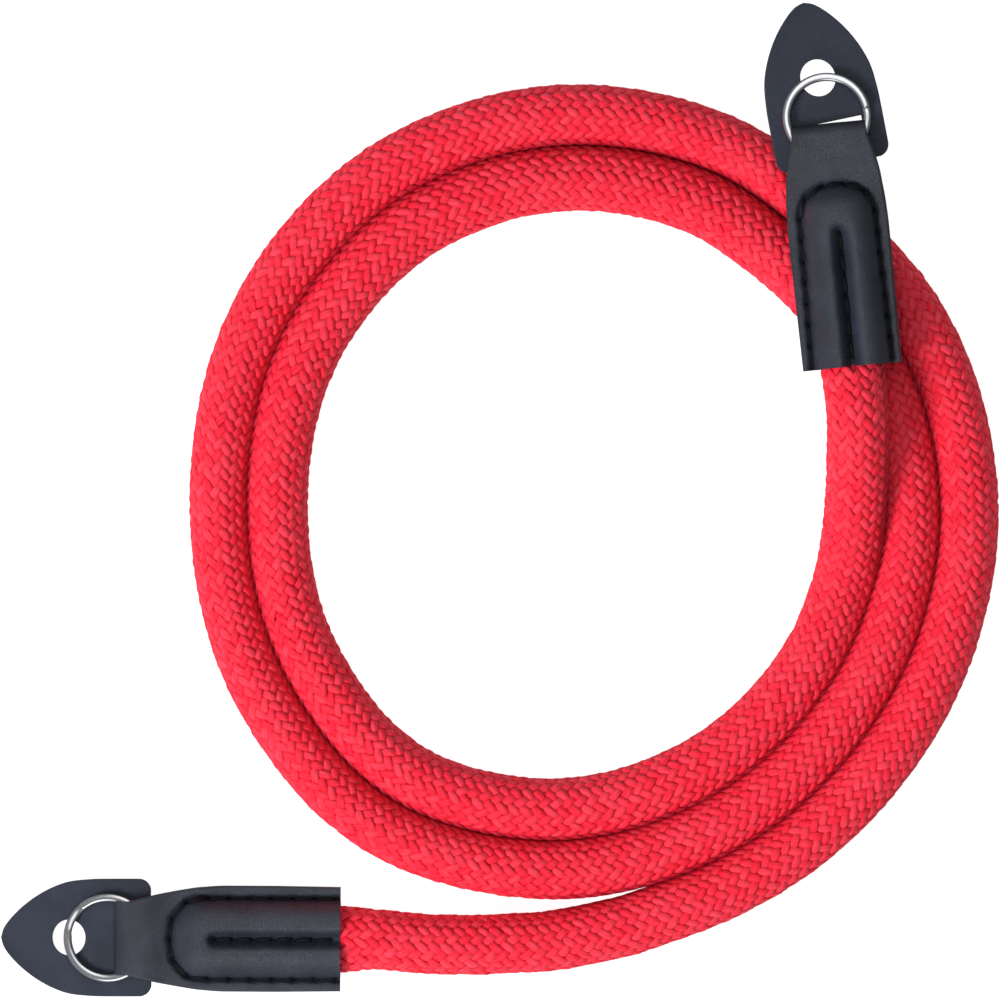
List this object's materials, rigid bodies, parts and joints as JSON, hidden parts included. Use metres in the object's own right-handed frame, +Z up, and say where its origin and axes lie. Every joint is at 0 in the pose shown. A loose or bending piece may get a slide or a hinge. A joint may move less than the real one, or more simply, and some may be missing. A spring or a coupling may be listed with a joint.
{
  "type": "coiled camera strap",
  "caption": "Braided rope strap lying in a flat coil, with a folded leather tab, a split ring and a leaf-shaped leather protector at each end.",
  "frame": {"origin": "middle of the two leather ends seen from above, on the surface that the strap lies on", "axes": "+Z up, away from the surface; +Y towards the end that lies on the coil; -X towards the end that lies on the surface"},
  "size_m": [0.1665, 0.1646, 0.0201],
  "materials": {
    "rope_cord": "braided soft yarn, red",
    "strip_leather": "smooth semi-matt leather, charcoal",
    "ring_steel": "nickel plated spring wire",
    "patch_leather": "fine grained matt leather, charcoal"
  },
  "bodies": {
    "root": {"rope": "rope_cord", "end_tab_a": "strip_leather", "end_tab_b": "strip_leather", "ring_a": "ring_steel", "ring_b": "ring_steel", "patch_a": "patch_leather", "patch_b": "patch_leather"}
  },
  "joints": []
}
